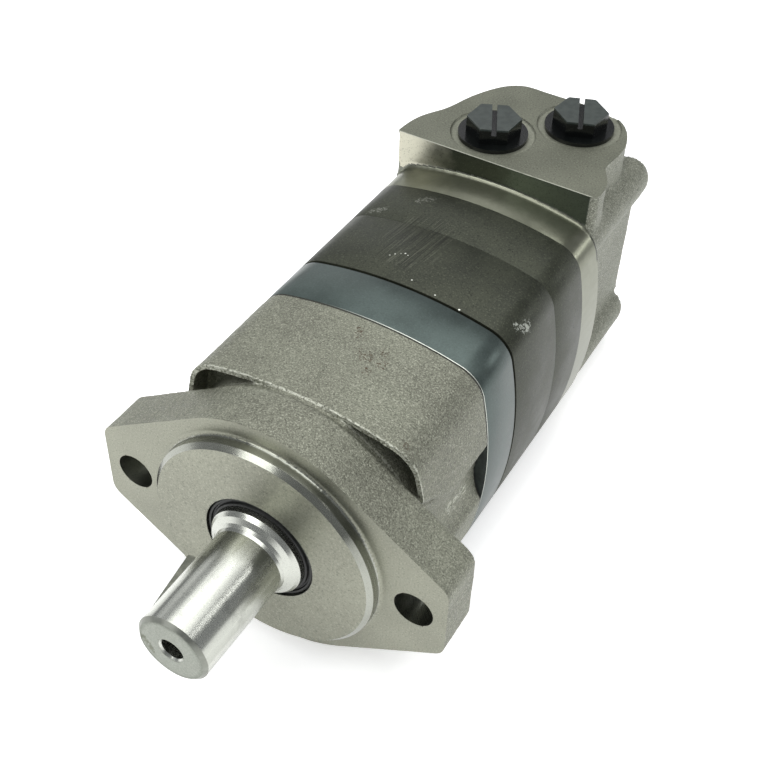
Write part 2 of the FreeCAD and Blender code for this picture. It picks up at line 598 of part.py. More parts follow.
PLUG_A_TURN = 86.0
PLUG_B_TURN = 82.0
parts["port_plug_a"] = port_plug(PORT_A[0], PORT_A[1], PLUG_A_TURN + 30, math.radians(PLUG_A_TURN))
parts["port_plug_b"] = port_plug(PORT_B[0], PORT_B[1], PLUG_B_TURN + 30, math.radians(PLUG_B_TURN))
for nm, (px, py) in (("port_plug_seal_a", PORT_A), ("port_plug_seal_b", PORT_B)):
    parts[nm] = Part.makeTorus(10.95, 0.66, V(px, py, 53.56), V(0, 0, 1))

bolts = []
for x, z in corners():
    top = Y_BOLT_SEAT + BOLT_HEAD_L
    b = revolve([(0, 39.0), (BOLT_R - 0.9, 39.0), (BOLT_R, 39.9), (BOLT_R, Y_BOLT_SEAT + 0.01),
                 (BOLT_HEAD_R, Y_BOLT_SEAT + 0.01), (BOLT_HEAD_R, top - 0.8),
                 (BOLT_HEAD_R - 0.8, top), (0, top)])
    hp = [V(BOLT_SOCKET_AF / math.sqrt(3) * math.cos(k * math.pi / 3 + 0.2), top - 5.0,
            BOLT_SOCKET_AF / math.sqrt(3) * math.sin(k * math.pi / 3 + 0.2)) for k in range(6)]
    b = b.cut(Part.Face(Part.makePolygon(hp + [hp[0]])).extrude(V(0, 6.0, 0)))
    b = b.cut(Part.makeCone(0.0, BOLT_SOCKET_AF / math.sqrt(3) + 0.5, 1.6, V(0, top - 1.55, 0), V(0, 1, 0)))
    b.translate(V(x, 0, z))
    bolts.append(b.Solids[0])
parts["assembly_bolts"] = Part.makeCompound(bolts)

dp = cyl(5.0, 195.5, Y_REAR).fuse(cyl(8.6, Y_REAR - 0.58, Y_REAR + 3.4))
hp = [V(3.1 * math.cos(k * math.pi / 3), Y_REAR + 0.2, 3.1 * math.sin(k * math.pi / 3)) for k in range(6)]
dp = dp.cut(Part.Face(Part.makePolygon(hp + [hp[0]])).extrude(V(0, 5, 0)))
dp = chamfer_round(solid(dp), 8.6, Y_REAR + 3.4, 0.7)
parts["case_drain_plug"] = dp
parts["case_drain_seal"] = tube(10.4, 8.8, Y_REAR - 0.58, Y_REAR + 0.7)

seals = []
for y in (Y_WEAR - 0.55, Y_RING - 0.55, Y_VPLATE + 0.55, Y_VHOUSE + 0.55):
    seals.append(Part.makeTorus(40.55, 0.5, V(0, y, 0), V(0, 1, 0)))
parts["body_seal_rings"] = Part.makeCompound(seals)

for name, shape in parts.items():
    bad = [s for s in shape.Solids if not s.isValid()]
    print("%-24s solids %2d faces %3d vol %10.1f %s" % (
        name, len(shape.Solids), len(shape.Faces), shape.Volume, "INVALID" if bad or not shape.isValid() else ""))
    shape.exportStep("parts/%s.step" % name)
print(len(parts), "nodes")
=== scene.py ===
import bpy
import bmesh
import json
import math
import numpy as np
from mathutils import Matrix, Vector, noise
from mathutils.bvhtree import BVHTree
from mathutils.kdtree import KDTree


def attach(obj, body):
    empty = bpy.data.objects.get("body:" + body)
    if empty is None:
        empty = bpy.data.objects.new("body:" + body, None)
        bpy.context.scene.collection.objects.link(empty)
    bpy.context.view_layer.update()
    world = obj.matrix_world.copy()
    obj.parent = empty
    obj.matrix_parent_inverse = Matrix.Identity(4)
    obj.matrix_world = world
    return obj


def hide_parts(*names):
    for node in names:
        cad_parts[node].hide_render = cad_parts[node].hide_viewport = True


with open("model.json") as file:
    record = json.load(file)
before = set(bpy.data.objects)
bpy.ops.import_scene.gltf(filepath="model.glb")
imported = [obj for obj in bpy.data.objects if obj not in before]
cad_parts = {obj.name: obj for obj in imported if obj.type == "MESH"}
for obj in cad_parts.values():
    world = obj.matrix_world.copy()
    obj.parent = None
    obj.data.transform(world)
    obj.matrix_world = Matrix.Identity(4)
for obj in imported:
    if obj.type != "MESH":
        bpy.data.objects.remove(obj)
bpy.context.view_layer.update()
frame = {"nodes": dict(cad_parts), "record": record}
nodes = frame["nodes"]
MM = 0.001


# ------------------------------------------------------------ material helpers
def srgb(r, g, b):
    """Linear colour from 0-255 sRGB values."""
    out = []
    for c in (r, g, b):
        c /= 255.0
        out.append(c / 12.92 if c <= 0.04045 else ((c + 0.055) / 1.055) ** 2.4)
    return tuple(out) + (1.0,)


class Mat:
    """A small builder for procedural materials on object coordinates (metres)."""

    def __init__(self, name, metallic=0.0, ior=None, coat=0.0, coat_rough=0.1, specular=None):
        self.m = bpy.data.materials.new(name)
        self.m.use_nodes = True
        self.t = self.m.node_tree
        self.b = self.t.nodes["Principled BSDF"]
        self.b.inputs["Metallic"].default_value = metallic
        if ior:
            self.b.inputs["IOR"].default_value = ior
        if coat:
            self.b.inputs["Coat Weight"].default_value = coat
            self.b.inputs["Coat Roughness"].default_value = coat_rough
        if specular is not None:
            self.b.inputs["Specular IOR Level"].default_value = specular
        tc = self.t.nodes.new("ShaderNodeTexCoord")
        self.obj = tc.outputs["Object"]

    def node(self, kind, **props):
        n = self.t.nodes.new(kind)
        for k, v in props.items():
            setattr(n, k, v)
        return n

    def put(self, socket, value):
        if isinstance(value, bpy.types.NodeSocket):
            self.t.links.new(value, socket)
        elif isinstance(value, (int, float)):
            socket.default_value = value
        else:
            socket.default_value = value

    def stretch(self, scale=(1, 1, 1), loc=(0, 0, 0), rot=(0, 0, 0), src=None):
        n = self.node("ShaderNodeMapping")
        self.put(n.inputs["Vector"], src or self.obj)
        n.inputs["Scale"].default_value = scale
        n.inputs["Location"].default_value = loc
        n.inputs["Rotation"].default_value = rot
        return n.outputs["Vector"]

    def noise(self, size_mm, detail=3.0, rough=0.5, vec=None, distort=0.0):
        n = self.node("ShaderNodeTexNoise")
        self.put(n.inputs["Vector"], vec or self.obj)
        n.inputs["Scale"].default_value = 1000.0 / size_mm
        n.inputs["Detail"].default_value = detail
        n.inputs["Roughness"].default_value = rough
        n.inputs["Distortion"].default_value = distort
        return n.outputs["Fac"]

    def voronoi(self, size_mm, vec=None, feature="F1", out="Distance", smooth=None):
        n = self.node("ShaderNodeTexVoronoi", feature=feature)
        self.put(n.inputs["Vector"], vec or self.obj)
        n.inputs["Scale"].default_value = 1000.0 / size_mm
        if smooth is not None and "Smoothness" in n.inputs:
            n.inputs["Smoothness"].default_value = smooth
        return n.outputs[out]

    def xyz(self):
        n = self.node("ShaderNodeSeparateXYZ")
        self.put(n.inputs[0], self.obj)
        return n.outputs[0], n.outputs[1], n.outputs[2]

    def math(self, op, a, b=0.0, c=0.0, clamp=False):
        n = self.node("ShaderNodeMath", operation=op, use_clamp=clamp)
        for s, v in zip(n.inputs, (a, b, c)):
            self.put(s, v)
        return n.outputs[0]

    def ramp(self, fac, stops, mode="LINEAR"):
        n = self.node("ShaderNodeValToRGB")
        n.color_ramp.interpolation = mode
        e = n.color_ramp.elements
        while len(e) < len(stops):
            e.new(0.5)
        for el, (p, col) in zip(e, stops):
            el.position = p
            el.color = col if not isinstance(col, (int, float)) else (col, col, col, 1)
        self.put(n.inputs["Fac"], fac)
        return n.outputs["Color"]

    def span(self, x, a, b, lo=0.0, hi=1.0, smooth=True):
        """x from a to b mapped to lo..hi, clamped."""
        n = self.node("ShaderNodeMapRange")
        n.interpolation_type = "SMOOTHSTEP" if smooth else "LINEAR"
        self.put(n.inputs["Value"], x)
        n.inputs["From Min"].default_value = a
        n.inputs["From Max"].default_value = b
        n.inputs["To Min"].default_value = lo
        n.inputs["To Max"].default_value = hi
        return n.outputs["Result"]

    def mix(self, fac, a, b, blend="MIX"):
        n = self.node("ShaderNodeMix", data_type="RGBA", blend_type=blend)
        self.put(n.inputs["Factor"], fac)
        self.put(n.inputs[6], a)
        self.put(n.inputs[7], b)
        return n.outputs[2]

    def away(self, x, y, z):
        """Distance in metres from the point (x, y, z) given in mm."""
        n = self.node("ShaderNodeVectorMath", operation="DISTANCE")
        self.put(n.inputs[0], self.obj)
        n.inputs[1].default_value = (x * MM, y * MM, z * MM)
        return n.outputs["Value"]

    def blobs(self, places, edge=None):
        """Largest of several soft round marks; each place is (x, y, z, radius) in mm."""
        out = None
        for x, y, z, r in places:
            d = self.away(x, y, z)
            if edge is not None:
                d = self.math("ADD", d, edge)
            b = self.span(d, r * MM, 0.45 * r * MM)
            out = b if out is None else self.math("MAXIMUM", out, b)
        return out

    def bump(self, height, strength, dist_mm, normal=None):
        n = self.node("ShaderNodeBump")
        self.put(n.inputs["Height"], height)
        n.inputs["Strength"].default_value = strength
        n.inputs["Distance"].default_value = dist_mm * MM
        if normal is not None:
            self.put(n.inputs["Normal"], normal)
        return n.outputs["Normal"]

    def color(self, c):
        self.put(self.b.inputs["Base Color"], c)
        return self

    def rough(self, r):
        self.put(self.b.inputs["Roughness"], r)
        return self

    def normal(self, n):
        self.put(self.b.inputs["Normal"], n)
        return self

    def radial(self, cx=0.0, cz=0.0):
        """Distance from an axis along Y through (cx, cz), in metres, and the angle round it."""
        x, y, z = self.xyz()
        if cx:
            x = self.math("SUBTRACT", x, cx * MM)
        if cz:
            z = self.math("SUBTRACT", z, cz * MM)
        r = self.math("SQRT", self.math("ADD", self.math("MULTIPLY", x, x), self.math("MULTIPLY", z, z)))
        return r, self.math("ARCTAN2", z, x)


def join_vec(m, x, y, z):
    n = m.node("ShaderNodeCombineXYZ")
    for s, v in zip(n.inputs, (x, y, z)):
        m.put(s, v)
    return n.outputs[0]


# ------------------------------------------------------------------- materials
def cast_iron(name, dark, mid, light, rust=0.0, metallic=0.55, grain=1.0, rough=(0.46, 0.62)):
    """Sand-cast surface: fine salt-and-pepper grain, faint cloudiness, a few rust freckles."""
    m = Mat(name, metallic=metallic)
    big = m.noise(26, 3)
    mids = m.noise(2.4, 3, 0.6)
    grit = m.noise(0.55, 2, 0.75)
    fine = m.noise(0.33, 2, 0.6)
    cell = m.voronoi(0.75, feature="SMOOTH_F1", smooth=0.35)
    c = m.mix(m.span(big, 0.30, 0.72), dark, mid)
    c = m.mix(m.span(mids, 0.44, 0.74, 0.0, 0.30), c, light)
    c = m.mix(m.span(grit, 0.52, 0.66, 0.0, 0.70 * grain), c, light)
    c = m.mix(m.span(grit, 0.46, 0.33, 0.0, 0.75 * grain), c, tuple(0.40 * v for v in dark[:3]) + (1,))
    c = m.mix(m.span(fine, 0.60, 0.74, 0.0, 0.45 * grain), c, tuple(min(1.0, 1.35 * v) for v in light[:3]) + (1,))
    if rust:
        ragged = m.math("MULTIPLY", m.math("SUBTRACT", m.noise(1.5, 4, 0.75), 0.5), 0.012)
        places = [(-0.7, 55.3, 46.3, 1.5), (2.0, 53.0, 46.3, 1.1), (7.4, 45.1, 46.1, 2.3), (4.4, 46.6, 46.2, 1.3),
                  (11.7, 51.1, 45.8, 1.6), (10.9, 40.1, 45.9, 1.2), (13.2, 46.0, 45.6, 1.2), (35.4, 23.5, 41.5, 0.9)]
        spots = m.blobs(places, ragged)
        spots = m.math("MULTIPLY", spots, m.span(m.noise(0.9, 3, 0.7), 0.44, 0.58))
        c = m.mix(m.math("MULTIPLY", spots, rust), c, srgb(68, 48, 30))
        # painted highlight along the broken front lip of the body
        x, y, z = m.xyz()
        r, a = m.radial()
        lip = m.math("MULTIPLY", m.span(y, 20.75 * MM, 20.15 * MM), m.span(y, 19.45 * MM, 19.7 * MM))
        lip = m.math("MULTIPLY", lip, m.span(r, 45.6 * MM, 46.2 * MM))
        lip = m.math("MULTIPLY", lip, m.span(m.noise(1.1, 3, 0.7), 0.40, 0.56))
        c = m.mix(m.math("MULTIPLY", lip, 0.75), c, srgb(208, 210, 196))
        # a bright streaky patch on the floor of the right-hand scoop
        scoop_patch = m.blobs([(42.6, 52.2, -3.4, 3.6), (42.6, 47.6, -2.6, 3.2), (42.6, 43.4, -1.6, 2.4)], ragged)
        scoop_patch = m.math("MULTIPLY", scoop_patch, m.span(m.noise(1.0, 3, 0.7, m.stretch((1.0, 0.35, 1.0))), 0.47, 0.58))
        c = m.mix(m.math("MULTIPLY", scoop_patch, 0.75), c, srgb(206, 208, 194))
        rim = m.span(y, 60.85 * MM, 61.15 * MM)
        c = m.mix(m.math("MULTIPLY", rim, 0.88), c, srgb(20, 21, 18))
    m.color(c)
    m.rough(m.math("ADD", m.span(mids, 0.3, 0.7, rough[0], rough[1]), m.span(fine, 0.3, 0.7, -0.06, 0.06)))
    n = m.bump(mids, 0.25, 0.30)
    n = m.bump(cell, 0.55 * grain, 0.22, n)
    n = m.bump(grit, 0.80 * grain, 0.22, n)
    m.normal(n)
    return m.m


def machined(name, dark, light, rough=(0.24, 0.40), ring_mm=0.16, metallic=0.95, grain=0.6, turned=True, axis=(0.0, 0.0), rim=None):
    """Turned or milled metal: fine rings about the axis, faint grain and handling marks."""
    m = Mat(name, metallic=metallic)
    r, a = m.radial(*axis)
    y = m.xyz()[1]
    if turned:
        wobble = m.math("MULTIPLY", m.noise(9, 2), 0.00012)
        rr = m.math("ADD", m.math("ADD", r, m.math("MULTIPLY", y, 0.9)), wobble)
        tool = m.node("ShaderNodeTexNoise", noise_dimensions="1D")
        m.put(tool.inputs["W"], rr)
        tool.inputs["Scale"].default_value = 1000.0 / ring_mm
        tool.inputs["Detail"].default_value = 3
        lines = tool.outputs["Fac"]
    else:
        lines = m.noise(ring_mm, 2, 0.5, m.stretch((1.0, 0.08, 1.0)))
    fine = m.noise(0.62, 2, 0.65)
    blot = m.noise(24.0, 2, 0.5)
    c = m.mix(m.span(blot, 0.25, 0.75), dark, light)
    c = m.mix(m.span(fine, 0.54, 0.70, 0.0, 0.60 * grain), c, tuple(min(1.0, 1.35 * v) for v in light[:3]) + (1,))
    c = m.mix(m.span(fine, 0.44, 0.30, 0.0, 0.65 * grain), c, tuple(0.5 * v for v in dark[:3]) + (1,))
    if rim is not None:
        # painted highlight along the front corner, varied by noise
        g = m.math("MULTIPLY", m.span(y, (rim + 0.55) * MM, (rim + 0.30) * MM), m.span(m.noise(4.0, 2), 0.30, 0.50, 0.55, 1.0))
        c = m.mix(m.math("MULTIPLY", g, 0.8), c, srgb(196, 198, 184))
    m.color(c)
    m.rough(m.math("ADD", m.span(blot, 0.3, 0.7, rough[0], rough[1]), m.span(lines, 0.3, 0.7, -0.04, 0.04)))
    n = m.bump(lines, 0.22, 0.02)
    n = m.bump(fine, 0.35 * grain, 0.05, n)
    m.normal(n)
    return m.m


def block_wall(name):
    """Milled wall: painted highlight at its left end, painted shade over the rest."""
    m = Mat(name, metallic=0.8)
    x, y, z = m.xyz()
    fine = m.noise(0.55, 2, 0.6)
    mill = m.noise(0.5, 2, 0.5, m.stretch((0.06, 1.0, 1.0)))
    stain = m.math("MULTIPLY", m.math("SUBTRACT", m.noise(7.0, 3), 0.5), 0.012)
    # painted highlight at the left end fading into painted shade; stain is noise that makes the fade uneven
    c = m.mix(m.span(m.math("ADD", x, stain), -0.037, -0.017), srgb(196, 194, 176), srgb(60, 64, 53))
    # the painted shade eases a little lighter towards +x
    c = m.mix(m.span(m.math("ADD", x, stain), -0.004, 0.010), c, srgb(92, 100, 87))
    c = m.mix(m.span(fine, 0.58, 0.74, 0.0, 0.08), c, srgb(168, 168, 152))
    c = m.mix(m.span(fine, 0.44, 0.30, 0.0, 0.35), c, srgb(30, 31, 26))
    m.color(c)
    m.rough(m.span(mill, 0.3, 0.7, 0.30, 0.36))
    n = m.bump(mill, 0.04, 0.02)
    m.normal(m.bump(fine, 0.05, 0.03, n))
    return m.m


def plate(name, dark, light, rough=(0.3, 0.45), pits=0.0, marks=False, metallic=0.7, streak=0.4, groove=None, edge=None, grain=0.5):
    """Ground or blackened plate steel: soft stains, fine grain, pits and handling scratches."""
    m = Mat(name, metallic=metallic)
    x, y, z = m.xyz()
    blot = m.noise(16.0, 4, 0.58)
    fine = m.noise(0.62, 2, 0.65)
    grind = m.noise(0.5, 3, 0.6, m.stretch((1.0, 0.035, 1.0)))
    c = m.mix(m.span(blot, 0.30, 0.72), dark, light)
    c = m.mix(m.span(grind, 0.5, 0.78, 0.0, streak), c, tuple(min(1.0, 1.5 * v) for v in light[:3]) + (1,))
    c = m.mix(m.span(fine, 0.54, 0.72, 0.0, grain), c, tuple(min(1.0, 1.7 * v) for v in light[:3]) + (1,))
    c = m.mix(m.span(fine, 0.44, 0.30, 0.0, grain), c, tuple(0.45 * v for v in dark[:3]) + (1,))
    r0 = m.span(blot, 0.3, 0.7, rough[0], rough[1])
    n = m.bump(grind, 0.10, 0.05)
    n = m.bump(fine, 0.30, 0.07, n)
    if marks:
        # long scratches lying nearly along the axis, inside one scuffed patch on top
        v = m.stretch((1.0, 0.020, 1.0), src=m.stretch(rot=(0.0, 0.0, math.radians(7.0))))
        s1 = m.noise(0.48, 1, 0.4, v)
        px = m.math("DIVIDE", m.math("SUBTRACT", x, -0.0096), 0.0125)
        py = m.math("DIVIDE", m.math("SUBTRACT", y, 0.107), 0.0185)
        d = m.math("SQRT", m.math("ADD", m.math("MULTIPLY", px, px), m.math("MULTIPLY", py, py)))
        d = m.math("ADD", d, m.math("MULTIPLY", m.math("SUBTRACT", m.noise(5.0, 2), 0.5), 0.9))
        patch = m.math("MULTIPLY", m.span(d, 1.05, 0.7), m.span(z, 0.03, 0.04))
        lit = m.math("MULTIPLY", m.span(s1, 0.58, 0.66), patch)
        dim = m.math("MULTIPLY", m.span(s1, 0.45, 0.38), patch)
        c = m.mix(m.math("MULTIPLY", lit, 0.20), c, srgb(130, 131, 116))
        c = m.mix(m.math("MULTIPLY", dim, 0.60), c, srgb(24, 24, 20))
        n = m.bump(m.math("MULTIPLY", s1, patch), 0.12, 0.04, n)
        ragged = m.math("MULTIPLY", m.math("SUBTRACT", m.noise(1.2, 4, 0.75), 0.5), 0.010)
        chips = m.blobs([(40.6, 96.2, 37.4, 1.9), (39.9, 94.2, 38.0, 1.6), (38.6, 92.2, 38.8, 1.3)], ragged)
        chips = m.math("MULTIPLY", chips, m.span(m.noise(1.3, 3, 0.7), 0.40, 0.47))
        c = m.mix(m.math("MULTIPLY", chips, 0.85), c, srgb(186, 190, 180))
        scuffs = m.blobs([(-31.1, 119.8, 42.8, 1.6), (-33.4, 118.0, 42.3, 1.4), (-29.6, 121.0, 43.1, 1.1),
                          (-18.4, 131.3, 45.1, 1.7), (-16.6, 132.6, 45.4, 1.3), (-20.4, 129.8, 44.8, 1.3)], ragged)
        scuffs = m.math("MULTIPLY", scuffs, m.span(m.noise(0.7, 3, 0.7), 0.40, 0.60))
        c = m.mix(m.math("MULTIPLY", scuffs, 0.38), c, srgb(176, 178, 168))
        dots = m.blobs([(-11.3, 96.6, 45.9, 0.34), (-8.3, 98.5, 46.1, 0.42), (0.9, 86.8, 46.3, 0.36), (-12.6, 95.2, 45.8, 0.30),
                        (-9.6, 97.7, 46.1, 0.26), (-7.0, 98.0, 46.2, 0.28), (11.1, 84.5, 45.9, 0.36), (20.9, 83.4, 44.8, 0.50)])
        c = m.mix(m.math("MULTIPLY", dots, 0.95), c, srgb(222, 224, 214))
    if pits:
        p = m.math("MULTIPLY", m.span(m.noise(1.7, 3, 0.7), 0.64, 0.69), m.span(m.noise(14, 2), 0.45, 0.6))
        c = m.mix(m.math("MULTIPLY", p, pits), c, tuple(0.25 * v for v in dark[:3]) + (1,))
        n = m.bump(p, 0.6, -0.12, n)
    if edge is not None:
        # painted highlight along the front corner, fading out towards -x
        g = m.math("MULTIPLY", m.span(y, (edge + 0.34) * MM, (edge + 0.26) * MM), m.span(x, -0.022, 0.016))
        c = m.mix(m.math("MULTIPLY", g, 0.9), c, srgb(216, 220, 210))
    if groove is not None:
        # a near-black band along the relieved rim, which is also made rougher
        g = m.span(y, (groove - 0.10) * MM, (groove + 0.02) * MM)
        c = m.mix(m.math("MULTIPLY", g, 0.96), c, srgb(14, 15, 14))
        r0 = m.math("MAXIMUM", r0, m.math("MULTIPLY", g, 0.6))
    m.color(c)
    m.rough(r0)
    m.normal(n)
    return m.m


def rubber(name):
    m = Mat(name, specular=0.35)
    fine = m.noise(0.35, 2)
    blot = m.noise(3.0, 3)
    m.color(m.mix(m.span(blot, 0.35, 0.7), srgb(20, 21, 20), srgb(36, 38, 36)))
    m.rough(m.span(fine, 0.3, 0.7, 0.38, 0.55))
    m.normal(m.bump(fine, 0.15, 0.04))
    return m.m


def plastic(name):
    """Black moulded plastic, glossy, with faint flow lines and a little dust."""
    m = Mat(name, specular=0.5)
    flow = m.noise(9.0, 2, 0.5)
    fine = m.noise(0.4, 2)
    dust = m.span(m.noise(0.45, 2, 0.5), 0.74, 0.80)
    c = m.mix(m.span(flow, 0.35, 0.7), srgb(7, 9, 9), srgb(13, 16, 15))
    # the upper faces are matt, and painted a lighter grey-green as a sheen
    z = m.xyz()[2]
    top = m.span(z, 61.05 * MM, 61.6 * MM)
    c = m.mix(m.math("MULTIPLY", top, 0.75), c, m.mix(m.span(m.noise(2.5, 3), 0.35, 0.65), srgb(50, 58, 55), srgb(62, 70, 66)))
    c = m.mix(m.math("MULTIPLY", dust, 0.25), c, srgb(110, 112, 106))
    m.color(c)
    m.rough(m.math("ADD", m.span(fine, 0.3, 0.7, 0.17, 0.24), m.math("MULTIPLY", top, 0.25)))
    m.normal(m.bump(fine, 0.06, 0.02))
    return m.m


def steel(name, dark, light, rough=(0.12, 0.25), metallic=1.0):
    """Ground round steel: fine rings round the axis, faint straight streaks, a duller end face."""
    m = Mat(name, metallic=metallic)
    x, y, z = m.xyz()
    tool = m.node("ShaderNodeTexNoise", noise_dimensions="1D")
    m.put(tool.inputs["W"], y)
    tool.inputs["Scale"].default_value = 1000.0 / 0.14
    tool.inputs["Detail"].default_value = 3
    lines = tool.outputs["Fac"]
    st = m.noise(2.2, 2, 0.5, m.stretch((1.0, 0.03, 1.0)))
    # the turned shoulder has no lengthwise streaks
    turned = m.span(y, -0.0125, -0.0114)
    st = m.math("ADD", m.math("MULTIPLY", st, m.math("SUBTRACT", 1.0, turned)), m.math("MULTIPLY", turned, 0.5))
    fine = m.noise(0.5, 2, 0.6)
    blot = m.noise(6.0, 4, 0.65)
    c = m.mix(m.span(st, 0.35, 0.68), dark, light)
    c = m.mix(m.span(fine, 0.60, 0.76, 0.0, 0.35), c, tuple(0.5 * v for v in dark[:3]) + (1,))
    stains = m.math("MULTIPLY", m.span(blot, 0.52, 0.72, 0.0, 0.38), m.span(y, -0.0105, -0.0125))
    c = m.mix(stains, c, tuple(0.55 * v for v in dark[:3]) + (1,))
    # sawn and faced end: grey, with an oil stain near one edge
    end = m.span(y, -0.0500, -0.0503)
    ragged = m.math("MULTIPLY", m.math("SUBTRACT", m.noise(0.9, 4, 0.7), 0.5), 0.005)
    stain = m.blobs([(-10.0, -50.4, -0.3, 1.3), (-8.9, -50.4, -1.9, 1.5), (-7.8, -50.4, -4.0, 1.5), (-6.9, -50.4, -5.6, 0.9)], ragged)
    ec = m.mix(m.span(fine, 0.35, 0.68), srgb(142, 146, 137), srgb(158, 161, 152))
    ec = m.mix(m.math("MULTIPLY", stain, 0.7), ec, srgb(98, 101, 84))
    r, a = m.radial()
    ring = m.math("MULTIPLY", m.span(y, -0.0489, -0.0491), m.span(r, 0.0100, 0.0110))
    c = m.mix(m.math("MULTIPLY", ring, 0.65), c, srgb(96, 99, 90))
    c = m.mix(end, c, ec)
    m.color(c)
    r0 = m.math("ADD", m.span(st, 0.3, 0.7, rough[0], rough[1]), m.span(fine, 0.3, 0.7, -0.02, 0.03))
    r0 = m.math("ADD", r0, m.math("MULTIPLY", ring, 0.15))
    m.rough(m.math("ADD", r0, m.math("MULTIPLY", end, 0.26)))
    n = m.bump(lines, 0.10, 0.010)
    n = m.bump(fine, 0.12, 0.03, n)
    m.normal(n)
    return m.m


def wire_steel(name, dark, light, rough=(0.3, 0.45), metallic=0.9, grain=0.5, rear=False):
    m = Mat(name, metallic=metallic)
    blot = m.noise(4.0, 4, 0.6)
    fine = m.noise(0.4, 2)
    c = m.mix(m.span(blot, 0.35, 0.68), dark, light)
    c = m.mix(m.span(fine, 0.58, 0.75, 0.0, grain), c, tuple(min(1.0, 1.4 * v) for v in light[:3]) + (1,))
    if rear:
        # painted shadow in the rear corner, where the band stands proud of the casting
        x, y, z = m.xyz()
        g = m.math("MULTIPLY", m.span(y, 0.15105, 0.1514), m.span(x, 0.0378, 0.0388))
        g = m.math("MULTIPLY", g, m.span(z, 0.0290, 0.0305))
        c = m.mix(m.math("MULTIPLY", g, 0.85), c, srgb(38, 42, 37))
    m.color(c)
    m.rough(m.span(blot, 0.3, 0.7, rough[0], rough[1]))
    m.normal(m.bump(fine, 0.2, 0.03))
    return m.m


CAST = cast_iron("cast_iron_skin", srgb(112, 113, 100), srgb(128, 130, 115), srgb(176, 178, 162), rust=0.9)
CAST_V = cast_iron("valve_housing_skin", srgb(112, 114, 101), srgb(128, 130, 117), srgb(176, 178, 165))
FACE_M = machined("flange_face_machined", srgb(130, 131, 118), srgb(146, 147, 133), rough=(0.34, 0.42), ring_mm=0.22, grain=1.0)
PILOT_M = machined("pilot_wall_turned", srgb(132, 134, 125), srgb(160, 162, 153), rough=(0.17, 0.26), grain=0.25)
BORE_M = machined("bore_machined", srgb(96, 98, 90), srgb(128, 130, 120), rough=(0.25, 0.38), grain=0.4)
# rear paints a shadow in the gap behind the band's rear edge
BAND_M = wire_steel("valve_housing_band", srgb(120, 122, 107), srgb(127, 129, 114), rough=(0.30, 0.315), metallic=0.9, grain=0.25, rear=True)
# rim paints a highlight along the front edge of the port face
PORT_M = machined("port_face_milled", srgb(104, 106, 93), srgb(120, 122, 108), rough=(0.42, 0.54), turned=False, ring_mm=0.4, grain=1.3, metallic=0.6, rim=152.0)
SPOT_M = machined("spotface_cut", srgb(116, 118, 104), srgb(138, 140, 126), rough=(0.42, 0.52), grain=0.8, metallic=0.6)
WALL_M = block_wall("port_block_wall")
SEAT_M = {
    "cast_iron": CAST,
    "valve_housing_iron": CAST_V,
    "valve_plate_iron": plate("valve_plate_surface", srgb(48, 51, 41), srgb(61, 64, 52), pits=0.9, rough=(0.40, 0.50), metallic=0.6, streak=0.06, marks=True, grain=0.85),
    "ring_steel": plate("ring_surface", srgb(49, 52, 42), srgb(62, 65, 53), pits=0.3, rough=(0.40, 0.50), metallic=0.6, streak=0.06, marks=True, grain=0.85),
    # edge paints a highlight along the wear plate's front corner
    "plate_steel": plate("wear_plate_surface", srgb(70, 80, 77), srgb(82, 93, 90), rough=(0.33, 0.40), metallic=0.75, streak=0.06, grain=0.25, groove=81.9, edge=61.7),
    "ground_steel": steel("shaft_ground", srgb(182, 184, 176), srgb(202, 204, 196), rough=(0.22, 0.28)),
    "key_steel": wire_steel("key_surface", srgb(120, 122, 112), srgb(146, 148, 136), rough=(0.42, 0.55), metallic=0.6),
    "bearing_steel": wire_steel("bearing_surface", srgb(150, 154, 156), srgb(190, 193, 195), rough=(0.1, 0.18), metallic=1.0, grain=0.15),
    "cage_steel": wire_steel("cage_surface", srgb(120, 118, 108), srgb(150, 148, 136), rough=(0.3, 0.42)),
    "drive_steel": wire_steel("drive_surface", srgb(70, 70, 70), srgb(98, 98, 96), rough=(0.32, 0.46)),
    "spring_steel": wire_steel("spring_surface", srgb(92, 94, 96), srgb(124, 126, 128), rough=(0.25, 0.38)),
    "bolt_steel": wire_steel("bolt_surface", srgb(34, 35, 36), srgb(54, 55, 56), rough=(0.34, 0.48), metallic=0.7),
    "plug_plastic": plastic("plug_surface"),
    "seal_rubber": rubber("seal_surface"),
}
slot_of = {s["node"]: s["material_slot"] for s in frame["record"]["subparts"]}


# ---------------------------------------------------------------- mesh helpers
def welded(name):
    """The CAD node's mesh with its split vertices merged, as a bmesh, in metres."""
    bm = bmesh.new()
    bm.from_mesh(nodes[name].data)
    bmesh.ops.remove_doubles(bm, verts=bm.verts, dist=2e-6)
    bm.normal_update()
    return bm


def new_object(name, mesh, node, body):
    o = bpy.data.objects.new(name, mesh)
    bpy.context.scene.collection.objects.link(o)
    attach(o, body)
    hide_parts(node)
    return o


def voxel_mesh(bm, size):
    """Even quads over the closed shape in bm."""
    me = bpy.data.meshes.new("tmp")
    bm.to_mesh(me)
    o = bpy.data.objects.new("tmp_remesh", me)
    bpy.context.scene.collection.objects.link(o)
    mod = o.modifiers.new("r", "REMESH")
    mod.mode = "VOXEL"
    mod.voxel_size = size
    mod.adaptivity = 0.0
    dg = bpy.context.evaluated_depsgraph_get()
    out = bpy.data.meshes.new_from_object(o.evaluated_get(dg))
    bpy.data.objects.remove(o)
    bpy.data.meshes.remove(me)
    return out


def smooth_positions(co, edges, weight, rounds, lam=0.5):
    """Laplacian smoothing; weight 0 holds a vertex."""
    n = len(co)
    deg = np.bincount(edges.ravel(), minlength=n).astype(float)[:, None]
    deg[deg == 0] = 1
    for _ in range(rounds):
        acc = np.zeros_like(co)
        for k in range(3):
            acc[:, k] = (np.bincount(edges[:, 0], co[edges[:, 1], k], n) +
                         np.bincount(edges[:, 1], co[edges[:, 0], k], n))
        co = co + weight * lam * (acc / deg - co)
    return co


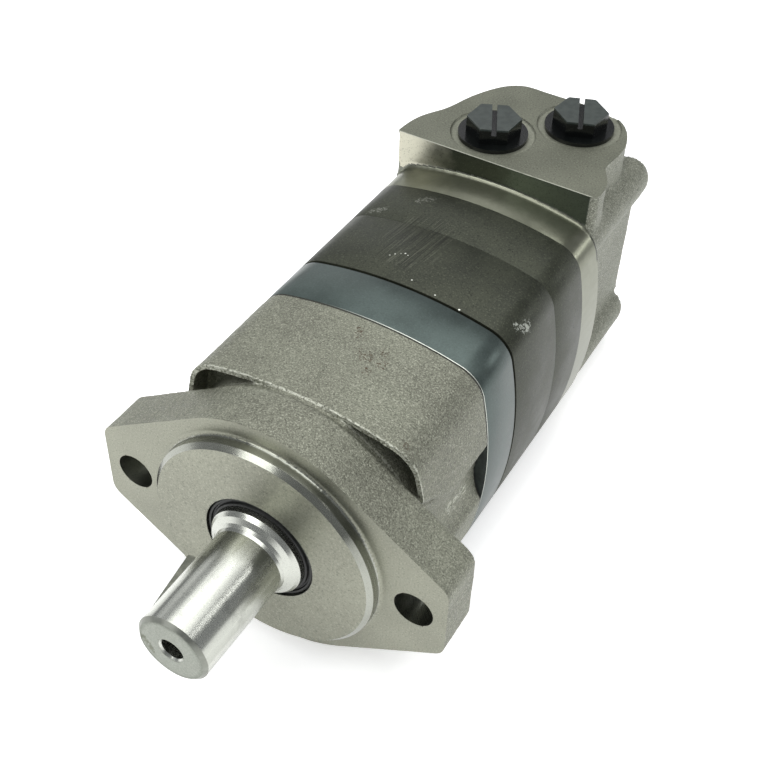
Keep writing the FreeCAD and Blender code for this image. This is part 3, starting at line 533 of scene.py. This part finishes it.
def spread(w, edges, rounds):
    n = len(w)
    deg = np.bincount(edges.ravel(), minlength=n).astype(float)
    deg[deg == 0] = 1
    for _ in range(rounds):
        acc = np.bincount(edges[:, 0], w[edges[:, 1]], n) + np.bincount(edges[:, 1], w[edges[:, 0]], n)
        w = 0.5 * w + 0.5 * acc / deg
    return w


def feature_points(bm, keep, step=0.06 * MM, angle=30.0):
    """Points along the sharp edges of a CAD mesh for which keep(mid points in mm) holds."""
    ends = []
    for e in bm.edges:
        if len(e.link_faces) == 2 and e.calc_face_angle_signed(0.0) > math.radians(angle):
            ends.append((e.verts[0].co[:], e.verts[1].co[:]))
    ends = np.array(ends)
    mid_pts = ends.mean(axis=1) / MM
    ends = ends[keep(mid_pts)]
    out = []
    for a, b in ends:
        k = max(1, int(np.linalg.norm(b - a) / step))
        t = np.linspace(0, 1, k + 1)[:, None]
        out.append(a + (b - a) * t)
    pts = np.concatenate(out)
    tree = KDTree(len(pts))
    for i, q in enumerate(pts):
        tree.insert(q, i)
    tree.balance()
    return tree


def casting(node, body, name, size, is_cast, paint, mats, rounds, rough_at=None, keep_edges=None, settle=None):
    """A finely divided copy of a cast node: cast skin rounded over its edges and left
    uneven, machined faces kept exactly on the CAD surface."""
    bm = welded(node)
    bvh = BVHTree.FromBMesh(bm)
    me = voxel_mesh(bm, size)
    edge_tree = feature_points(bm, keep_edges) if keep_edges else None
    bm.free()
    n = len(me.vertices)
    co = np.zeros(n * 3)
    me.vertices.foreach_get("co", co)
    co = co.reshape(-1, 3)
    edges = np.zeros(len(me.edges) * 2, int)
    me.edges.foreach_get("vertices", edges)
    edges = edges.reshape(-1, 2)
    near = np.zeros((n, 3))
    nor = np.zeros((n, 3))
    for i in range(n):
        p, q, _, _ = bvh.find_nearest(Vector(co[i]))
        near[i] = p
        nor[i] = q
    cast = is_cast(near / MM, nor).astype(float)
    w = np.minimum(cast, spread(cast, edges, 2) * 1.6).clip(0, 1)
    w[cast == 0] = 0
    on_edge = np.zeros(n, bool)
    if edge_tree:
        for i in range(n):
            q, _, d = edge_tree.find(near[i])
            if d < 0.66 * size:
                near[i] = q
                on_edge[i] = True
        w[on_edge] = 0
    if settle is not None:
        # concave roots of machined walls, eased into fillets
        w = np.maximum(w, settle(near / MM) * ~on_edge)
    base = near.copy()
    sm = smooth_positions(base, edges, w[:, None], rounds)
    # uneven skin of the casting
    mask = spread(cast, edges, 3) * cast
    extra = rough_at(near / MM) if rough_at else np.ones(n)
    disp = np.zeros(n)
    for i in np.nonzero(mask > 0.02)[0]:
        p = Vector(near[i])
        d = 0.10 * noise.noise(p * 110.0) + 0.055 * noise.noise(p * 420.0 + Vector((3, 1, 7))) + 0.05 * noise.noise(p * 900.0)
        disp[i] = d * mask[i] * extra[i]
    # outward direction from the smoothed surface
    me.vertices.foreach_set("co", sm.ravel())
    me.update()
    vn = np.zeros(n * 3)
    me.vertices.foreach_get("normal", vn)
    vn = vn.reshape(-1, 3)
    final = sm + vn * (disp * MM)[:, None]
    me.vertices.foreach_set("co", final.ravel())
    me.update()
    # paint by face
    f = len(me.polygons)
    cen = np.zeros(f * 3)
    me.polygons.foreach_get("center", cen)
    fn = np.zeros(f * 3)
    me.polygons.foreach_get("normal", fn)
    idx = paint(cen.reshape(-1, 3) / MM, fn.reshape(-1, 3))
    me.materials.clear()
    for m in mats:
        me.materials.append(m)
    me.polygons.foreach_set("material_index", idx.astype(np.int32))
    me.polygons.foreach_set("use_smooth", np.ones(f, bool))
    me.update()
    if edge_tree:
        b2 = bmesh.new()
        b2.from_mesh(me)
        for e in b2.edges:
            if on_edge[e.verts[0].index] and on_edge[e.verts[1].index] and e.calc_face_angle(0.0) > math.radians(24):
                e.smooth = False
        b2.to_mesh(me)
        b2.free()
    o = new_object(name, me, node, body)
    return o


def true_normals(o, zone):
    """Shade chosen faces by the surface they lie on: zone(face centres, corner points, in mm)
    gives one normal per face corner, zero where the mesh's own normal stays."""
    me = o.data
    n = len(me.vertices)
    co = np.zeros(n * 3)
    me.vertices.foreach_get("co", co)
    co = co.reshape(-1, 3) / MM
    lv = np.zeros(len(me.loops), int)
    me.loops.foreach_get("vertex_index", lv)
    f = len(me.polygons)
    tot = np.zeros(f, int)
    me.polygons.foreach_get("loop_total", tot)
    cen = np.zeros(f * 3)
    me.polygons.foreach_get("center", cen)
    cen = np.repeat(cen.reshape(-1, 3) / MM, tot, axis=0)
    me.normals_split_custom_set(zone(cen, co[lv]).tolist())


def softened(node, body, name, width_mm, mats, paint=None, angle=32.0, segments=2):
    """A CAD node with small rounded edges."""
    bm = welded(node)
    me = bpy.data.meshes.new(name)
    bm.to_mesh(me)
    bm.free()
    o = bpy.data.objects.new(name, me)
    bpy.context.scene.collection.objects.link(o)
    mod = o.modifiers.new("b", "BEVEL")
    mod.width = width_mm * MM
    mod.segments = segments
    mod.limit_method = "ANGLE"
    mod.angle_limit = math.radians(angle)
    mod.use_clamp_overlap = True
    mod.harden_normals = False
    dg = bpy.context.evaluated_depsgraph_get()
    out = bpy.data.meshes.new_from_object(o.evaluated_get(dg))
    bpy.data.objects.remove(o)
    bpy.data.meshes.remove(me)
    out.materials.clear()
    for m in mats:
        out.materials.append(m)
    f = len(out.polygons)
    out.polygons.foreach_set("use_smooth", np.ones(f, bool))
    if paint:
        cen = np.zeros(f * 3)
        out.polygons.foreach_get("center", cen)
        fn = np.zeros(f * 3)
        out.polygons.foreach_get("normal", fn)
        out.polygons.foreach_set("material_index", paint(cen.reshape(-1, 3) / MM, fn.reshape(-1, 3)).astype(np.int32))
    else:
        out.polygons.foreach_set("material_index", np.zeros(f, np.int32))
    out.set_sharp_from_angle(angle=math.radians(28))
    out.update()
    return new_object(name, out, node, body)


def around(p, x=0.0, z=0.0):
    return np.hypot(p[:, 0] - x, p[:, 2] - z)


# ------------------------------------------------------------ bearing housing
CORN = [(sx * 32.9, sz * 32.9) for sx in (1, -1) for sz in (1, -1)]


def housing_cast(p, n):
    r = around(p)
    cast = np.ones(len(p), bool)
    cast &= ~(p[:, 1] < 0.15)                      # flange face and pilot
    cast &= ~(p[:, 1] > 61.6)                      # rear face
    cast &= ~((r < 30.0))                          # seal and bearing bores
    cast &= ~((r < 41.6) & (p[:, 1] > 60.0))       # seal groove
    for x in (53.2, -53.2):
        cast &= ~((around(p, x) < 7.0) & (p[:, 1] < 17.6))
    for x, z in CORN:
        cast &= ~((around(p, x, z) < 5.0) & (p[:, 1] > 36.0))
    return cast


def housing_paint(c, n):
    idx = np.zeros(len(c))
    m = ~housing_cast(c, n)
    idx[m] = 3                                              # bores
    idx[(c[:, 1] < 0.2) & (around(c) > 20.4)] = 1           # flange and pilot faces
    wall = (c[:, 1] > -5.30) & (c[:, 1] < -0.02) & (around(c) > 39.0) & (around(c) < 41.6)
    idx[wall] = 2
    for x in (53.2, -53.2):
        idx[(around(c, x) < 6.95) & (c[:, 1] > 0.1) & (c[:, 1] < 17.4)] = 3
    idx[(c[:, 1] > 61.6)] = 1
    return idx


def housing_rough(p):
    """More broken along the front lips of the body."""
    lip = np.exp(-((p[:, 1] - 20.0) / 1.2) ** 2) * (around(p) > 46.0)
    return 1.0 + 2.2 * lip


def housing_edges(p):
    """Edges that stay crisp: the turned front, the bolt holes, the rear rim and the body lips."""
    keep = (p[:, 1] < 0.1) | (abs(p[:, 1] - 61.7) < 0.1)
    return keep | ((abs(p[:, 1] - 19.8) < 0.1) & (around(p) > 46.05))


def housing_settle(p):
    """Small root fillet round the pilot."""
    d = np.hypot(around(p) - 41.275, p[:, 1])
    return np.where(d < 1.3, 1.0 - d / 1.3, 0.0)


skin = casting("bearing_housing", "housing", "bearing_housing_skin", (0.62) * MM,
               housing_cast, housing_paint, [CAST, FACE_M, PILOT_M, BORE_M], 8, housing_rough, housing_edges, housing_settle)


def pilot_zone(c, p):
    """The pilot's front face, its chamfer and its wall."""
    out = np.zeros((len(p), 3))
    rc = around(c)
    r = np.maximum(around(p), 1e-6)
    front = (c[:, 1] < -5.30) & (rc < 39.70) & (rc > 20.6)
    out[front] = (0.0, -1.0, 0.0)
    cham = (rc > 39.66) & (rc < 41.35) & (c[:, 1] > -5.32) & (c[:, 1] < -3.75)
    k = math.sqrt(0.5)
    out[cham, 0] = k * p[cham, 0] / r[cham]
    out[cham, 1] = -k
    out[cham, 2] = k * p[cham, 2] / r[cham]
    wall = (rc > 41.0) & (rc < 41.4) & (c[:, 1] >= -3.75) & (c[:, 1] < -1.5)
    out[wall, 0] = p[wall, 0] / r[wall]
    out[wall, 2] = p[wall, 2] / r[wall]
    return out


true_normals(skin, pilot_zone)


# --------------------------------------------------------------- valve housing
def wall_zone(p):
    """The milled front wall of the port block."""
    return (abs(p[:, 1] - 152.0) < 0.12) & (p[:, 2] > 40.0) & (p[:, 0] > -43.0) & (p[:, 0] < 36.0)


def valve_edges(p):
    """Edges that stay crisp: both rims of the band, the port face and its counterbores."""
    keep = (p[:, 1] < 137.7) | (p[:, 2] > 54.0)
    keep |= (abs(p[:, 1] - 152.0) < 0.1) & (np.maximum(abs(p[:, 0]), abs(p[:, 2])) > 41.0) & (p[:, 2] < 36.0)
    for x, z in CORN:
        keep |= (around(p, x, z) < 9.6) & (p[:, 1] > 206.0)
    keep |= (around(p) < 10.9) & (p[:, 1] > 205.0)
    return keep


def valve_settle(p):
    """Root fillet where the port block wall meets the band."""
    d = np.hypot(p[:, 1] - 152.0, p[:, 2] - (46.33 - 0.0035 * p[:, 0] ** 2))
    return np.where((d < 2.4) & (p[:, 0] < 37.5) & (p[:, 2] > 38.0), 1.0 - d / 2.4, 0.0)


def valve_cast(p, n):
    r = around(p)
    cast = np.ones(len(p), bool)
    band = (p[:, 1] < 152.08) & (np.maximum(abs(p[:, 0]), abs(p[:, 2])) > 33.0)
    cast &= ~band
    cast &= ~(p[:, 1] < 149.0)
    cast &= ~wall_zone(p)
    cast &= ~((r < 31.0) & (p[:, 1] < 172.5))
    cast &= ~((p[:, 2] > 55.0))
    for x, y in ((-11.8, 170.4), (13.8, 192.8)):
        d = np.hypot(p[:, 0] - x, p[:, 1] - y)
        cast &= ~((d < 16.6) & (p[:, 2] > 54.0))
        cast &= ~((d < 13.5) & (p[:, 2] > 16.0))
    for x, z in CORN:
        cast &= ~((around(p, x, z) < 7.6))
        cast &= ~((around(p, x, z) < 9.6) & (p[:, 1] > 206.3))
    cast &= ~((r < 10.8) & (p[:, 1] > 190.0))
    return cast


def valve_paint(c, n):
    idx = np.zeros(len(c))
    m = ~valve_cast(c, n)
    idx[m] = 3
    band = (c[:, 1] < 152.05) & (np.maximum(abs(c[:, 0]), abs(c[:, 2])) > 33.5) & (n[:, 1] > -0.9)
    idx[band] = 1
    idx[wall_zone(c)] = 5
    idx[(c[:, 2] > 54.95)] = 2
    for x, y in ((-11.8, 170.4), (13.8, 192.8)):
        d = np.hypot(c[:, 0] - x, c[:, 1] - y)
        idx[(d < 16.45) & (c[:, 2] > 53.9) & (c[:, 2] < 55.1)] = 4
    return idx


casting("valve_housing", "housing", "valve_housing_skin", (0.62) * MM,
        valve_cast, valve_paint, [CAST_V, BAND_M, PORT_M, BORE_M, SPOT_M, WALL_M], 22,
        keep_edges=valve_edges, settle=valve_settle)

# ------------------------------------------------------------- stacked plates
# the wear plate's front face inside the hollow gets dark steel as painted shade
FRONT_SHADE_M = wire_steel("wear_plate_front_shade", srgb(40, 45, 43), srgb(58, 64, 61), rough=(0.36, 0.48), metallic=0.7, grain=0.3)


def plate_front(c, n):
    return ((n[:, 1] < -0.98) & (c[:, 1] < 61.75)).astype(float)


softened("wear_plate", "housing", "wear_plate_shaped", 0.35, [SEAT_M["plate_steel"], FRONT_SHADE_M], plate_front)
softened("gerotor_ring", "housing", "gerotor_ring_shaped", 0.12, [SEAT_M["ring_steel"]])
softened("valve_plate", "housing", "valve_plate_shaped", 0.12, [SEAT_M["valve_plate_iron"]])

# ------------------------------------------------- CAD nodes with their finish
for name, o in nodes.items():
    if o.hide_render:
        continue
    o.data.materials.clear()
    o.data.materials.append(SEAT_M[slot_of[name]])

# ----------------------------------------------------------- floor and light
floor_me = bpy.data.meshes.new("floor")
floor_me.from_pydata([(-3, -3, 0), (3, -3, 0), (3, 3, 0), (-3, 3, 0)], [], [(0, 1, 2, 3)])
floor = bpy.data.objects.new("floor", floor_me)
floor.location = (0, 0, -0.0476)
bpy.context.scene.collection.objects.link(floor)
fm = Mat("floor_paper", specular=0.1)
fm.color(fm.mix(fm.span(fm.noise(40, 2), 0.3, 0.7), (0.90, 0.90, 0.90, 1), (0.93, 0.93, 0.93, 1)))
fm.rough(0.8)
fm.b.inputs["Emission Color"].default_value = (1.0, 1.0, 1.0, 1.0)
fm.b.inputs["Emission Strength"].default_value = 0.50
floor_me.materials.append(fm.m)

world = bpy.data.worlds.new("studio")
world.use_nodes = True
world.node_tree.nodes["Background"].inputs["Color"].default_value = (0.93, 0.96, 1.0, 1)
world.node_tree.nodes["Background"].inputs["Strength"].default_value = 0.28
bpy.context.scene.world = world


def softbox(name, loc, target, w, h, power, color=(1, 1, 1)):
    d = bpy.data.lights.new(name, "AREA")
    d.shape = "RECTANGLE"
    d.size, d.size_y = w, h
    d.energy = power
    d.color = color
    o = bpy.data.objects.new(name, d)
    o.location = loc
    o.rotation_euler = (Vector(target) - Vector(loc)).to_track_quat("-Z", "Y").to_euler()
    bpy.context.scene.collection.objects.link(o)


mid = (0.0, 0.08, 0.0)
softbox("overhead", (0.0, -0.05, 1.25), (0.0, -0.05, 0.0), 1.5, 1.5, 16)
softbox("strip_behind", (0.07, 0.95, 1.10), mid, 0.07, 0.6, 1.5)
softbox("behind_left", (-0.46, 0.92, 0.90), mid, 0.5, 0.4, 1.0)
softbox("front_left", (-0.52, -0.95, 0.90), mid, 0.6, 0.6, 5)
softbox("behind_right", (0.80, 0.99, 0.36), mid, 0.12, 0.12, 0.9)
softbox("strip_right", (0.78, 0.53, 0.81), mid, 0.06, 0.3, 0.35)
softbox("back_left", (-0.95, 0.95, 0.50), mid, 0.9, 0.6, 1.5)

# --------------------------------------------------------------------- camera
cam_data = bpy.data.cameras.new("camera")
cam_data.sensor_width = 36.0
cam_data.lens = 58.35
cam_data.clip_start = 0.01
cam = bpy.data.objects.new("camera", cam_data)
right = Vector((0.860836, 0.507978, 0.030335))
down = Vector((0.36968, -0.583281, -0.72327))
fwd = Vector((-0.349712, 0.633831, -0.689899))
cam.matrix_world = Matrix((
    (right.x, -down.x, -fwd.x, 0.15229),
    (right.y, -down.y, -fwd.y, -0.20395),
    (right.z, -down.z, -fwd.z, 0.30977),
    (0, 0, 0, 1)))
bpy.context.scene.collection.objects.link(cam)
bpy.context.scene.camera = cam
bpy.context.scene.view_settings.view_transform = "Standard"
